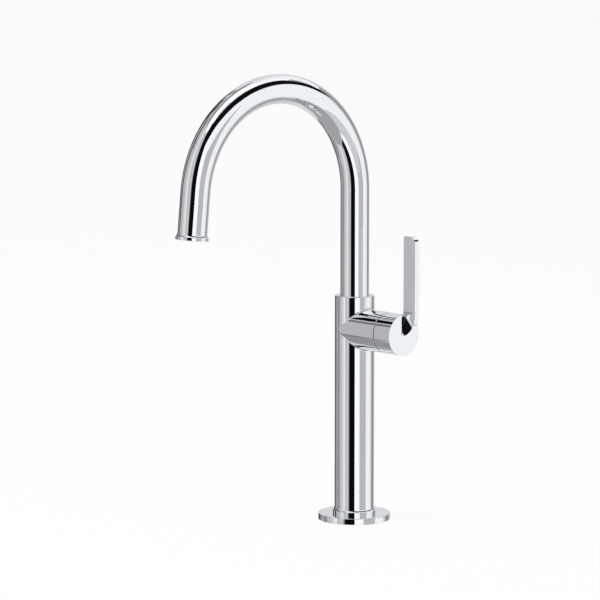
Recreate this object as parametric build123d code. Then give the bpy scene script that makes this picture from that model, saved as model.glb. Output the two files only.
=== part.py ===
from build123d import *
import os
from math import asin, cos, degrees, radians, sin, sqrt

# Tall single-hole washbasin tap with a swivelling gooseneck spout and a side lever.
# Millimetres. The origin is the centre of the base's underside, on the column's axis.
# +Z is up, the spout reaches towards -Y, and the lever's hub points along +X.

# Clearances
RUNNING = 0.06  # radial, a turning piece in its bore
SEAT = 0.05  # radial, fixed pieces that sit in each other
OPEN_GAP = 0.3  # radial, where a piece passes a wall without touching it

# Base
flange_diameter = 58.5
flange_height = 4.9
flange_edge_round = 0.5
gasket_mean_radius = 23.5
gasket_width = 3.0
gasket_height = 1.8
foot_ring_diameter = 35.0
foot_band_height = 2.7
foot_cove_height = 2.3
foot_lip = 0.2
cove_hollow = 0.29  # how far in the middle of a hollow flare lies, as a share of its size

# Column
column_diameter = 32.0
column_wall = 2.5
column_height = 182.0
column_rim_round = 0.9
column_top_wall = 3.0

# Base plug, with the stud's thread and the two supply threads
plug_disc_diameter = 36.0
plug_disc_height = 3.0
plug_height = 17.0
stud_tap_radius = 3.4
stud_offset = 7.6
stud_depth = 10.0
supply_tap_radius = 4.5
supply_tap_depth = 10.0
supply_x = -3.5
supply_y = 6.3

# Supply tubes inside the column
supply_tube_radius = 4.0
supply_bore_radius = 3.0
tube_socket_depth = 4.0

# Hub and its axis
hub_proud = 0.4  # radial, the hub over the column
hub_axis_drop = 26.7  # below the column's top
hub_root = 1.0  # how far the hub reaches past the column's axis
hub_sleeve_end = 38.4
hub_wall = 2.9
hub_blend = 0.8

# Spout
spout_diameter = 23.2
spout_wall = 1.2
arc_radius = 83.4
riser_length = 85.3  # from the column's top to the start of the bend
arc_sweep = 174.2
outlet_leg_length = 37.0
swivel_limit = 60.0

# Outlet ring and aerator
outlet_ring_diameter = 25.8
outlet_band_height = 2.6
outlet_cove_height = 2.2
outlet_lip_height = 1.2
outlet_lip_width = 0.7
aerator_length = 10.0
aerator_recess = 0.6
aerator_wall = 1.2
aerator_gasket_height = 1.6
honeycomb_height = 3.5
honeycomb_pitch = 2.7
honeycomb_hole = 2.1
honeycomb_rings = 3
diffuser_height = 2.0
diffuser_hole_radius = 0.6
diffuser_holes = 12

# Swivel foot of the spout, in the top of the valve body
socket_wall = 1.8
foot_bore_radius = 7.5
foot_top_drop = 3.1
foot_length = 9.3
thrust_washer_height = 0.7
spigot_length = 8.0
ring_groove_depth = 1.4
seal_ring_radius = 0.68
seal_ring_drop = 7.2
stop_groove_depth = 2.1
stop_screw_tip_radius = 1.45
stop_screw_radius = 2.0
stop_screw_drop = 3.8
stop_groove_play = 0.12
screw_socket_flats = 2.0
screw_socket_depth = 1.6

# Valve body inside the column
valve_bottom_below_axis = 16.3
port_radius = 2.8
supply_port_drop = 3.3
outlet_port_rise = 6.2
outlet_bore_radius = 4.5

# Cartridge, along the hub's axis
cartridge_radius = 12.4
cartridge_seat = 8.0
seal_plate_height = 1.0
cartridge_base_height = 3.0
fixed_disc_height = 3.5
moving_disc_height = 3.5
carrier_height = 3.6
disc_radius = 10.0
cartridge_bore_radius = 10.4
cartridge_end = 33.0
stem_radius = 5.0
stem_end = 45.0
stem_square = 6.4
stem_square_length = 4.6
stem_seal_radius = 0.55
stem_seal_position = 29.0
handle_turn = 100.0
stop_rib_angle = 24.0
stop_rib_depth = 2.2
stop_play = 1.0
nut_radius = 13.4
nut_ring_height = 3.0
nut_hex_height = 2.3
nut_hex_flats = 21.0
nut_bore_radius = 6.4

# Lever cap, with the flat lever standing on it
seam_gap = 0.8
seam_ring_recess = 0.8
seam_ring_play = 0.1
cap_end = 57.1
cap_edge_round = 0.25
cap_recess_depth = 1.4
cap_rim_wall = 3.0
adapter_radius = 8.0
adapter_depth = 4.7
lever_width = 13.0
lever_thickness = 4.6
lever_front = 9.85
lever_proud = 1.9
lever_top = 77.0
lever_top_round = 5.6
lever_root_height = 13.1
notch_wall = 2.6
notch_floor_radius = 11.8
notch_floor_centre = -1.0
notch_floor_bottom = 0.6
grub_radius = 2.0
grub_length = 7.0

# Sizes that follow from those above
column_radius = column_diameter / 2
column_bore = column_radius - column_wall
hub_radius = column_radius + hub_proud
hub_axis_height = column_height - hub_axis_drop
hub_bore = hub_radius - hub_wall
spout_radius = spout_diameter / 2
spout_bore = spout_radius - spout_wall
arc_start_height = column_height + riser_length
flange_radius = flange_diameter / 2
foot_radius = foot_ring_diameter / 2
plug_disc_radius = plug_disc_diameter / 2
valve_radius = column_bore - SEAT
valve_bottom = hub_axis_height - valve_bottom_below_axis
valve_top = column_height - column_top_wall
socket_radius = valve_radius - socket_wall
swivel_radius = socket_radius - RUNNING
foot_top = column_height - foot_top_drop
foot_bottom = foot_top - foot_length
socket_floor = foot_bottom - thrust_washer_height
stop_height = foot_top - stop_screw_drop
supply_port_height = hub_axis_height - supply_port_drop
outlet_port_height = hub_axis_height + outlet_port_rise
base_start = cartridge_seat + seal_plate_height
fixed_start = base_start + cartridge_base_height
moving_start = fixed_start + fixed_disc_height
carrier_start = moving_start + moving_disc_height
carrier_end = carrier_start + carrier_height
cap_start = hub_sleeve_end + seam_gap
adapter_start = cap_start + cap_recess_depth
adapter_end = adapter_start + adapter_depth
lever_outer = cap_end + lever_proud
lever_inner = lever_outer - lever_width
lever_back = lever_front + lever_thickness
arc_end_angle = radians(arc_sweep)

hub_axis = Plane(origin=(0, 0, hub_axis_height), x_dir=(0, 1, 0), z_dir=(1, 0, 0))
outlet_start = Vector(
    0,
    -arc_radius * (1 - cos(arc_end_angle)),
    arc_start_height + arc_radius * sin(arc_end_angle),
)
outlet_direction = Vector(0, -sin(arc_end_angle), cos(arc_end_angle))
outlet_plane = Plane(
    origin=outlet_start + outlet_direction * outlet_leg_length,
    x_dir=(1, 0, 0),
    z_dir=-outlet_direction,
)


def disc(radius, bottom, height):
    """A cylinder on the column's axis."""
    return Pos(0, 0, bottom) * Cylinder(
        radius, height, align=(Align.CENTER, Align.CENTER, Align.MIN)
    )


def ring(outer, inner, bottom, height):
    return disc(outer, bottom, height) - disc(inner, bottom, height)


def along_hub(radius, start, end, y=0, z=0):
    """A cylinder parallel to the hub's axis, from x = start to x = end."""
    return (
        hub_axis.offset(start)
        * Pos(y, z)
        * Cylinder(radius, end - start, align=(Align.CENTER, Align.CENTER, Align.MIN))
    )


def along_hub_prism(sketch, start, end):
    """Extrudes a sketch of (y, z) about the hub's axis, from x = start to x = end."""
    return extrude(hub_axis.offset(start) * sketch, end - start)


def sector(radius, middle, half_angle):
    """A pie slice, for cutting grooves and ribs."""
    first = radians(middle - half_angle)
    centre = radians(middle)
    last = radians(middle + half_angle)
    start = (radius * cos(first), radius * sin(first))
    through = (radius * cos(centre), radius * sin(centre))
    end = (radius * cos(last), radius * sin(last))
    outline = [
        Line((0, 0), start),
        ThreePointArc(start, through, end),
        Line(end, (0, 0)),
    ]
    return make_face(outline)


def cove_ring(bore, root, band, bottom, band_height, cove_height):
    """A ring with a straight band and a hollow flare that runs up to a thin lip."""
    top = bottom + band_height + cove_height
    shoulder = bottom + band_height
    middle = (
        root + (band - root) * cove_hollow,
        shoulder + cove_height * cove_hollow,
    )
    outline = [
        Line((bore, bottom), (band, bottom)),
        Line((band, bottom), (band, shoulder)),
        ThreePointArc((band, shoulder), middle, (root, top)),
        Line((root, top), (bore, top)),
        Line((bore, top), (bore, bottom)),
    ]
    return revolve(Plane.XZ * make_face(outline), Axis.Z)


def o_ring(mean_radius, section_radius, height):
    return Pos(0, 0, height) * Torus(mean_radius, section_radius)


def grub_screw(radius, length, tip_radius, tip_length):
    """A headless screw along +Z from its tip, with a hexagon socket in its far end."""
    shank = Cylinder(radius, length, align=(Align.CENTER, Align.CENTER, Align.MIN))
    shank = Pos(0, 0, tip_length) * shank
    tip = Cylinder(tip_radius, tip_length, align=(Align.CENTER, Align.CENTER, Align.MIN))
    key = RegularPolygon(screw_socket_flats / sqrt(3), 6)
    top = tip_length + length
    socket = Pos(0, 0, top - screw_socket_depth) * extrude(key, screw_socket_depth)
    return shank + tip - socket


# Base pieces


def make_base_flange():
    body = disc(flange_radius, 0, flange_height)
    rims = body.edges().filter_by(GeomType.CIRCLE)
    body = fillet(rims.sort_by(Axis.Z)[-1], flange_edge_round)
    body -= disc(plug_disc_radius + SEAT, 0, plug_disc_height)
    body -= disc(column_bore + SEAT, 0, flange_height)
    groove_outer = gasket_mean_radius + gasket_width / 2 + SEAT
    groove_inner = gasket_mean_radius - gasket_width / 2 - SEAT
    return body - ring(groove_outer, groove_inner, 0, gasket_height)


def make_base_gasket():
    outer = gasket_mean_radius + gasket_width / 2
    inner = gasket_mean_radius - gasket_width / 2
    return ring(outer, inner, 0, gasket_height)


def make_foot_ring():
    return cove_ring(
        column_radius + SEAT,
        column_radius + SEAT + foot_lip,
        foot_radius,
        flange_height,
        foot_band_height,
        foot_cove_height,
    )


def make_base_plug():
    body = disc(plug_disc_radius, 0, plug_disc_height) + disc(column_bore - SEAT, 0, plug_height)
    body -= Pos(stud_offset, 0) * disc(stud_tap_radius, 0, stud_depth)
    for side in (-1, 1):
        place = Pos(supply_x, side * supply_y)
        body -= place * disc(supply_tap_radius, 0, supply_tap_depth)
        body -= place * disc(supply_bore_radius, 0, plug_height)
        socket_bottom = plug_height - tube_socket_depth
        body -= place * disc(supply_tube_radius + SEAT, socket_bottom, tube_socket_depth)
    return body


def make_supply_tube(side):
    bottom = plug_height - tube_socket_depth
    top = valve_bottom + tube_socket_depth
    tube = ring(supply_tube_radius, supply_bore_radius, bottom, top - bottom)
    return Pos(supply_x, side * supply_y) * tube


# Column and the hub's sleeve that is brazed to it


def column_post():
    return disc(column_radius, flange_height, column_height - flange_height)


def make_column_body():
    body = column_post()
    rims = body.edges().filter_by(GeomType.CIRCLE).sort_by(Axis.Z)
    body = fillet(rims[-1], column_rim_round)
    body -= disc(column_bore, flange_height, column_height - column_top_wall - flange_height)
    body -= disc(spout_radius + OPEN_GAP, 0, column_height)
    body -= along_hub(hub_bore, 0, hub_sleeve_end)
    return body - stop_screw_hole(stop_screw_radius)


def make_hub_sleeve():
    """Saddled onto the column, with a small hollow blend all along the joint."""
    body = column_post() + along_hub(hub_radius, -hub_root, hub_sleeve_end)
    body = fillet(junction_edges(body), hub_blend)
    return body - column_post() - along_hub(hub_bore, 0, hub_sleeve_end)


def junction_edges(body):
    """The hollow edges where the hub's sleeve meets the column."""
    low = hub_axis_height - hub_radius - 1
    high = hub_axis_height + hub_radius + 1
    edges = body.edges().filter_by_position(Axis.Z, low, high)
    edges = edges.filter_by_position(Axis.X, -hub_root, column_radius)
    straight = edges.filter_by(GeomType.LINE)
    round_ends = edges.filter_by(GeomType.CIRCLE)
    return [edge for edge in edges if edge not in straight and edge not in round_ends]


def stop_screw_hole(radius):
    """The tapped hole at the back of the column for the screw that stops the swivel."""
    plane = Plane(origin=(0, 0, stop_height), x_dir=(1, 0, 0), z_dir=(0, 1, 0))
    return plane * Cylinder(radius, column_diameter, align=(Align.CENTER, Align.CENTER, Align.MIN))


def make_stop_screw():
    groove_floor = swivel_radius - stop_groove_depth
    tip_start = groove_floor + OPEN_GAP
    shank_start = swivel_radius + OPEN_GAP
    length = column_radius - 0.5 - shank_start
    screw = grub_screw(
        stop_screw_radius - SEAT, length, stop_screw_tip_radius, shank_start - tip_start
    )
    plane = Plane(origin=(0, tip_start, stop_height), x_dir=(1, 0, 0), z_dir=(0, 1, 0))
    return plane * screw


def make_valve_body():
    body = disc(valve_radius, valve_bottom, valve_top - valve_bottom)
    body -= disc(socket_radius, socket_floor, valve_top - socket_floor)
    body -= along_hub(cartridge_radius + SEAT, cartridge_seat, column_diameter)
    body -= disc(outlet_bore_radius, outlet_port_height, socket_floor - outlet_port_height)
    body -= along_hub(port_radius, 0, cartridge_seat, 0, outlet_port_rise)
    for side in (-1, 1):
        place = Pos(supply_x, side * supply_y)
        body -= place * disc(supply_tube_radius + SEAT, valve_bottom, tube_socket_depth)
        rise = supply_port_height + port_radius - valve_bottom
        body -= place * disc(supply_bore_radius, valve_bottom, rise)
        body -= along_hub(port_radius, supply_x, cartridge_seat, side * supply_y, -supply_port_drop)
    return body - stop_screw_hole(stop_screw_radius)


# Cartridge


def port_holes(start, end, radius):
    """The three water ways through the cartridge's seals, base and fixed disc."""
    holes = along_hub(radius, start, end, 0, outlet_port_rise)
    for side in (-1, 1):
        holes += along_hub(radius, start, end, side * supply_y, -supply_port_drop)
    return holes


def make_port_seal():
    body = along_hub(cartridge_radius, cartridge_seat, base_start)
    return body - port_holes(cartridge_seat, base_start, port_radius)


def make_cartridge_base():
    body = along_hub(cartridge_radius, base_start, fixed_start)
    return body - port_holes(base_start, fixed_start, port_radius)


def make_fixed_disc():
    body = along_hub(disc_radius, fixed_start, moving_start)
    return body - port_holes(fixed_start, moving_start, port_radius)


def stop_rib(radius_in, radius_out, half_angle, start, end):
    """The fixed rib in the cartridge's wall, below the axis."""
    shape = sector(radius_out, -90, half_angle) - Circle(radius_in)
    return along_hub_prism(shape, start, end)


def make_cartridge_housing():
    body = along_hub(cartridge_radius, fixed_start, cartridge_end)
    body -= along_hub(cartridge_bore_radius, fixed_start, carrier_end + SEAT)
    body -= along_hub(stem_radius + RUNNING, fixed_start, cartridge_end)
    rib_reach = cartridge_bore_radius - stop_rib_depth
    rib = stop_rib(rib_reach, cartridge_radius, stop_rib_angle / 2, carrier_start + SEAT, cartridge_end)
    return body + rib


def make_moving_disc():
    """Its kidney-shaped hollow joins the inlets to the outlet as it turns."""
    body = along_hub(disc_radius, moving_start, carrier_start)
    hollow = SlotArc(CenterArc((0, 0), outlet_port_rise, 90, 120), 2 * port_radius)
    return body - along_hub_prism(hollow, moving_start, moving_start + moving_disc_height / 2)


def make_stem():
    carrier = along_hub(disc_radius, carrier_start, carrier_end)
    # The carrier's gap lets the housing's rib pass as the lever turns, and ends at its stops.
    half_gap = (handle_turn + stop_rib_angle) / 2 + stop_play
    middle = -90 - handle_turn / 2
    reach = cartridge_bore_radius - stop_rib_depth - OPEN_GAP
    gap = sector(cartridge_bore_radius, middle, half_gap) - Circle(reach)
    carrier -= along_hub_prism(gap, carrier_start, carrier_end)
    shaft_end = stem_end - stem_square_length
    shaft = along_hub(stem_radius, carrier_end, shaft_end)
    groove = Circle(stem_radius) - Circle(stem_radius - 2 * stem_seal_radius)
    groove_start = stem_seal_position - stem_seal_radius
    shaft -= along_hub_prism(groove, groove_start, stem_seal_position + stem_seal_radius)
    square = along_hub_prism(Rectangle(stem_square, stem_square), shaft_end, stem_end)
    return carrier + shaft + square


def make_stem_seal():
    plane = hub_axis.offset(stem_seal_position)
    return plane * Torus(stem_radius - stem_seal_radius, stem_seal_radius)


def make_cartridge_nut():
    ring_end = cartridge_end + nut_ring_height
    body = along_hub(nut_radius, cartridge_end, ring_end)
    hexagon = RegularPolygon(nut_hex_flats / sqrt(3), 6)
    body += along_hub_prism(hexagon, ring_end, ring_end + nut_hex_height)
    return body - along_hub(nut_bore_radius, cartridge_end, ring_end + nut_hex_height)


# Lever


def make_seam_ring():
    outer = hub_radius - seam_ring_recess
    end = cap_start - seam_ring_play
    shape = Circle(outer) - Circle(hub_bore)
    return along_hub_prism(shape, hub_sleeve_end, end)


def notch_profile():
    """The cut in front of the lever: a straight wall, a hollow floor, open at the top."""
    centre_y = notch_floor_centre
    centre_z = notch_floor_radius - notch_floor_bottom
    left = -notch_wall
    left_z = centre_z - sqrt(notch_floor_radius**2 - (left - centre_y) ** 2)
    right_z = centre_z - sqrt(notch_floor_radius**2 - (lever_front - centre_y) ** 2)
    top = hub_radius + 1
    outline = [
        Line((left, top), (left, left_z)),
        ThreePointArc(
            (left, left_z),
            (centre_y, -notch_floor_bottom),
            (lever_front, right_z),
        ),
        Line((lever_front, right_z), (lever_front, top)),
        Line((lever_front, top), (left, top)),
    ]
    return make_face(outline)


def lever_profile():
    """The lever seen from the front, in (x, z) about the hub's axis."""
    root_drop = sqrt(lever_width**2 - (lever_width - lever_proud) ** 2)
    root_z = lever_root_height - root_drop
    root_middle_angle = asin(root_drop / lever_width) / 2
    root_centre = (lever_outer - lever_width, lever_root_height)
    root_middle = (
        root_centre[0] + lever_width * cos(root_middle_angle),
        root_centre[1] - lever_width * sin(root_middle_angle),
    )
    corner = lever_top_round * (1 - 1 / sqrt(2))
    outline = [
        Line((lever_inner, root_z), (cap_end, root_z)),
        ThreePointArc((cap_end, root_z), root_middle, (lever_outer, lever_root_height)),
        Line((lever_outer, lever_root_height), (lever_outer, lever_top - lever_top_round)),
        ThreePointArc(
            (lever_outer, lever_top - lever_top_round),
            (lever_outer - corner, lever_top - corner),
            (lever_outer - lever_top_round, lever_top),
        ),
        Line((lever_outer - lever_top_round, lever_top), (lever_inner, lever_top)),
        Line((lever_inner, lever_top), (lever_inner, root_z)),
    ]
    return make_face(outline)


def make_lever_cap():
    cap = along_hub(hub_radius, cap_start, cap_end)
    rims = cap.edges().filter_by(GeomType.CIRCLE).sort_by(Axis.X)
    cap = fillet(rims[-1], cap_edge_round)
    cap -= along_hub_prism(notch_profile(), lever_inner, lever_outer)
    lever_plane = Plane(
        origin=(0, lever_back, hub_axis_height), x_dir=(1, 0, 0), z_dir=(0, -1, 0)
    )
    cap += extrude(lever_plane * lever_profile(), lever_thickness)
    cap -= along_hub(hub_radius - cap_rim_wall, cap_start, adapter_start)
    cap -= along_hub(adapter_radius + SEAT, adapter_start, adapter_end)
    return cap - lever_grub_place() * Cylinder(
        grub_radius, 2 * hub_radius, align=(Align.CENTER, Align.CENTER, Align.MIN)
    )


def lever_grub_place():
    """A frame at the hub's axis that points down, where the lever's grub screw sits."""
    middle = (adapter_start + adapter_end) / 2
    return Plane(origin=(middle, 0, hub_axis_height), x_dir=(1, 0, 0), z_dir=(0, 0, -1))


def make_lever_screw():
    start = adapter_radius + SEAT
    tip = 1.0
    return lever_grub_place() * Pos(0, 0, start) * grub_screw(
        grub_radius - SEAT, grub_length - tip, grub_radius * 0.6, tip
    )


def make_stem_adapter():
    body = along_hub(adapter_radius, adapter_start, adapter_end)
    opening = Rectangle(stem_square + 2 * SEAT, stem_square + 2 * SEAT)
    return body - along_hub_prism(opening, adapter_start, stem_end + SEAT)


# Spout


def spout_path(start_height, end_length):
    """The spout's centre line: up the riser, round the arc and down the outlet leg."""
    arc_start = Vector(0, 0, arc_start_height)
    half = arc_end_angle / 2
    arc_middle = Vector(
        0, -arc_radius * (1 - cos(half)), arc_start_height + arc_radius * sin(half)
    )
    edges = [
        Line((0, 0, start_height), arc_start),
        ThreePointArc(arc_start, arc_middle, outlet_start),
        Line(outlet_start, outlet_start + outlet_direction * end_length),
    ]
    return Wire(edges)


def make_spout_tube():
    tube_end = outlet_leg_length - outlet_lip_height
    path = spout_path(foot_top, tube_end)
    section = Plane.XY.offset(foot_top) * (Circle(spout_radius) - Circle(spout_bore))
    return sweep(section, path=path)


def make_spout_foot():
    """The turned end that swivels in the valve body and is brazed into the tube."""
    body = disc(swivel_radius, foot_bottom, foot_length)
    body += disc(spout_bore - SEAT, foot_top, spigot_length)
    body -= disc(foot_bore_radius, foot_bottom, foot_length + spigot_length)
    seal_height = foot_top - seal_ring_drop
    seal_groove = ring(
        swivel_radius,
        swivel_radius - ring_groove_depth,
        seal_height - seal_ring_radius - SEAT,
        2 * (seal_ring_radius + SEAT),
    )
    body -= seal_groove
    contact_radius = swivel_radius - stop_groove_depth / 2
    tip_angle = degrees(asin(stop_screw_tip_radius / contact_radius))
    half_angle = swivel_limit + tip_angle + stop_play
    half_height = stop_screw_tip_radius + stop_groove_play
    groove = sector(swivel_radius + 1, 90, half_angle)
    groove -= Circle(swivel_radius - stop_groove_depth)
    groove_plane = Plane.XY.offset(stop_height - half_height)
    return body - extrude(groove_plane * groove, 2 * half_height)


def make_spout_seal():
    mean = swivel_radius - ring_groove_depth + seal_ring_radius
    return o_ring(mean, seal_ring_radius, foot_top - seal_ring_drop)


def make_thrust_washer():
    return ring(swivel_radius, foot_bore_radius + 1, socket_floor, thrust_washer_height)


def make_outlet_ring():
    body = cove_ring(
        spout_radius + SEAT,
        spout_radius + SEAT + foot_lip,
        outlet_ring_diameter / 2,
        0,
        outlet_band_height,
        outlet_cove_height,
    )
    lip_inner = spout_radius - outlet_lip_width
    body += ring(spout_radius + foot_lip, lip_inner, 0, outlet_lip_height)
    return outlet_plane * body


def make_aerator_housing():
    outer = spout_bore - SEAT
    body = ring(outer, outer - aerator_wall, aerator_recess, aerator_length)
    return outlet_plane * body


def make_aerator_honeycomb():
    radius = spout_bore - SEAT - aerator_wall
    bottom = aerator_recess + 0.5
    places = HexLocations(honeycomb_pitch / 2, 2 * honeycomb_rings + 1, 2 * honeycomb_rings + 1)
    cell = RegularPolygon(honeycomb_hole / 2, 6, rotation=30)
    cells = [
        place * cell
        for place in places
        if place.position.length + honeycomb_hole / 2 < radius - 0.4
    ]
    plate = Circle(radius) - cells
    return outlet_plane * Pos(0, 0, bottom) * extrude(plate, honeycomb_height)


def make_aerator_diffuser():
    """The disc that breaks the flow into jets above the honeycomb."""
    radius = spout_bore - SEAT - aerator_wall
    bottom = aerator_recess + 0.5 + honeycomb_height
    jets = PolarLocations(radius * 0.62, diffuser_holes)
    plate = Circle(radius) - [place * Circle(diffuser_hole_radius) for place in jets]
    return outlet_plane * Pos(0, 0, bottom) * extrude(plate, diffuser_height)


def make_aerator_gasket():
    bottom = aerator_recess + aerator_length
    outer = spout_bore - SEAT
    return outlet_plane * ring(outer, outer - 2.2, bottom, aerator_gasket_height)


os.makedirs("parts", exist_ok=True)

pieces = {
    "base_flange": make_base_flange(),
    "base_gasket": make_base_gasket(),
    "foot_ring": make_foot_ring(),
    "base_plug": make_base_plug(),
    "hot_supply_tube": make_supply_tube(-1),
    "cold_supply_tube": make_supply_tube(1),
    "column_body": make_column_body(),
    "hub_sleeve": make_hub_sleeve(),
    "swivel_stop_screw": make_stop_screw(),
    "valve_body": make_valve_body(),
    "port_seal": make_port_seal(),
    "cartridge_base": make_cartridge_base(),
    "fixed_disc": make_fixed_disc(),
    "cartridge_housing": make_cartridge_housing(),
    "cartridge_nut": make_cartridge_nut(),
    "seam_ring": make_seam_ring(),
    "moving_disc": make_moving_disc(),
    "cartridge_stem": make_stem(),
    "stem_seal": make_stem_seal(),
    "stem_adapter": make_stem_adapter(),
    "lever_cap": make_lever_cap(),
    "lever_screw": make_lever_screw(),
    "spout_tube": make_spout_tube(),
    "spout_foot": make_spout_foot(),
    "spout_seal": make_spout_seal(),
    "thrust_washer": make_thrust_washer(),
    "outlet_ring": make_outlet_ring(),
    "aerator_housing": make_aerator_housing(),
    "aerator_honeycomb": make_aerator_honeycomb(),
    "aerator_diffuser": make_aerator_diffuser(),
    "aerator_gasket": make_aerator_gasket(),
}

for name, piece in pieces.items():
    export_step(piece, f"parts/{name}.step")
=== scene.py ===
"""A tall chrome basin faucet: the dressed model and its studio."""

from math import asin, cos, pi, radians, sin, sqrt

import bmesh
import bpy
from mathutils import Matrix, Vector


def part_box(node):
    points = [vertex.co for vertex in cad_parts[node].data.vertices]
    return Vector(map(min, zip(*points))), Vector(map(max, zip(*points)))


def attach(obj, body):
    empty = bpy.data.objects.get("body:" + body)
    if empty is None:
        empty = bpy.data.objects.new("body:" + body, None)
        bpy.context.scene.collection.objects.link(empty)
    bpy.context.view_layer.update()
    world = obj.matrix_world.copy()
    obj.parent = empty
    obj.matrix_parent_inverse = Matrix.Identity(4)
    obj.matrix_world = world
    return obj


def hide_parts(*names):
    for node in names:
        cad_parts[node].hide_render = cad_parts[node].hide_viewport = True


bl_info = {
    "name": "Tall basin faucet",
    "version": (1, 0, 0),
    "blender": (4, 5, 0),
    "location": "View3D > Sidebar > Faucet",
    "description": "Builds a chrome gooseneck basin faucet and its studio",
    "category": "Object",
}

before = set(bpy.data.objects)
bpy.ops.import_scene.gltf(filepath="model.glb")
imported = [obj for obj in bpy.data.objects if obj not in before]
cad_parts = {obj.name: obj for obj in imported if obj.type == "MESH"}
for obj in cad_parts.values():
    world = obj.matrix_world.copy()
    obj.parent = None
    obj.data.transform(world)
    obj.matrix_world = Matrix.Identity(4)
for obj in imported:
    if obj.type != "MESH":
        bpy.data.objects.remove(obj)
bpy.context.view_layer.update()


def node_size(node, axis):
    """The length of a CAD node's box along one axis, in metres."""
    low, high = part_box(node)
    return high[axis] - low[axis]


def node_low(node, axis):
    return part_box(node)[0][axis]


def node_high(node, axis):
    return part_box(node)[1][axis]


HUB_HEIGHT = (node_low("seam_ring", 2) + node_high("seam_ring", 2)) / 2
SEAT = 0.00005  # gap between pieces that sit on each other
TUBE_STOP = 0.0012  # height of the tube's end over the outlet ring's end
SKY_LEVEL = 0.65  # strength of the sky for diffuse rays
ALONG_HUB = Vector((1.0, 0.0, 0.0))
UPWARDS = Vector((0.0, 0.0, 1.0))
WHITE = (1.0, 1.0, 1.0, 1.0)


# Settings


def length(name, description, default, low=0.0, high=3.0):
    return bpy.props.FloatProperty(
        name=name, description=description, default=default,
        min=low, max=high, precision=5, unit="LENGTH",
    )


def shade(name, description, default):
    return bpy.props.FloatVectorProperty(
        name=name, description=description, default=default,
        size=3, min=0.0, max=1.0, subtype="COLOR",
    )


def factor(name, description, default):
    return bpy.props.FloatProperty(
        name=name, description=description, default=default, min=0.0, max=1.0, precision=4
    )


def bearing(name, description, default):
    return bpy.props.FloatProperty(
        name=name, description=description, default=radians(default), subtype="ANGLE"
    )


class FaucetColumnSettings(bpy.types.PropertyGroup):
    """Base, column and hub sleeve."""

    flange_edge: length("Flange edge", "Rounding of the flange's upper edge", 0.0005)
    band_height: length("Foot band", "Height of the foot ring's straight band", 0.0027)
    foot_edge: length("Foot edge", "Rounding of the foot ring's shoulder", 0.00025)
    foot_lip: length("Foot lip", "Width of the foot ring's upper lip", 0.00015)
    column_edge: length("Column edge", "Rounding of the column's upper edge", 0.0009)
    column_hole: length("Column hole", "Radius of the hole the spout stands in", 0.0119)
    blend: length("Hub blend", "Radius of the hollow blend between hub and column", 0.0015)
    sleeve_bore: length("Sleeve bore", "Radius inside the hub's sleeve", 0.0135)
    sleeve_edge: length("Sleeve edge", "Rounding of the sleeve's end at the seam", 0.0003)
    blend_out: length("Blend out", "Length over which the hub's side runs out", 0.0016)


class FaucetSpoutSettings(bpy.types.PropertyGroup):
    """Gooseneck tube, outlet ring and aerator."""

    tube_radius: length("Tube radius", "Outer radius of the gooseneck", 0.01156)
    tube_wall: length("Tube wall", "Wall of the gooseneck tube", 0.0012)
    bend_radius: length("Bend radius", "Radius of the gooseneck's centre line", 0.0834)
    bend_start: length("Bend start", "Height where the bend begins", 0.2673)
    sweep: bearing("Sweep", "Angle that the bend turns through", 174.2)
    leg: length("Outlet leg", "Straight length after the bend, to the ring's end", 0.037)
    ring_radius: length("Ring radius", "Outer radius of the outlet ring", 0.0129)
    ring_band: length("Ring band", "Height of the outlet ring's straight band", 0.0026)
    ring_cove: length("Ring cove", "Height of the outlet ring's hollow flare", 0.0022)
    cell_pitch: length("Cell pitch", "Distance between the aerator's cells", 0.0027)
    cell_wall: length("Cell wall", "Wall between the aerator's cells", 0.0006)


class FaucetLeverSettings(bpy.types.PropertyGroup):
    """Turning cap and its flat lever."""

    cap_face: length("Cap face", "Distance of the cap's face from the column's axis", 0.0571)
    cap_radius: length("Cap radius", "Outer radius of the cap", 0.0164)
    lever_front: length("Lever front", "How far the lever's front lies behind the axis", 0.00985)
    lever_thickness: length("Lever thickness", "Thickness of the flat lever", 0.0046)
    lever_width: length("Lever width", "Width of the flat lever", 0.013)
    lever_proud: length("Lever proud", "How far the lever stands out of the cap's face", 0.0019)
    lever_top: length("Lever top", "Height of the lever's tip over the hub's axis", 0.077)
    top_round: length("Top corner", "Rounding of the lever's outer top corner", 0.0056)
    root_height: length("Root height", "Where the lever's lower corner begins to turn in", 0.0131)
    notch_wall: length("Notch wall", "Distance of the notch's wall in front of the axis", 0.0026)
    notch_radius: length("Notch radius", "Radius of the notch's hollow floor", 0.0118)
    notch_centre: length(
        "Notch centre", "Place of the floor's centre behind the axis", -0.001, -0.1
    )
    notch_bottom: length("Notch bottom", "Depth of the floor below the axis", 0.0006)
    edge: length("Edge", "Width of the small rounded edges", 0.00025)
    notch_lip: length("Notch lip", "Depth of the notch at its left side", 0.001)
    notch_depth: length("Notch depth", "Depth of the notch at the lever", 0.0088)
    notch_slope: bpy.props.FloatProperty(
        name="Notch slope",
        description="Rise of the notch's floor for each step to the back",
        default=1.04,
    )
    back_edge: length("Back edge", "Rounding of the cap's edge at the seam", 0.00045)


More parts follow.
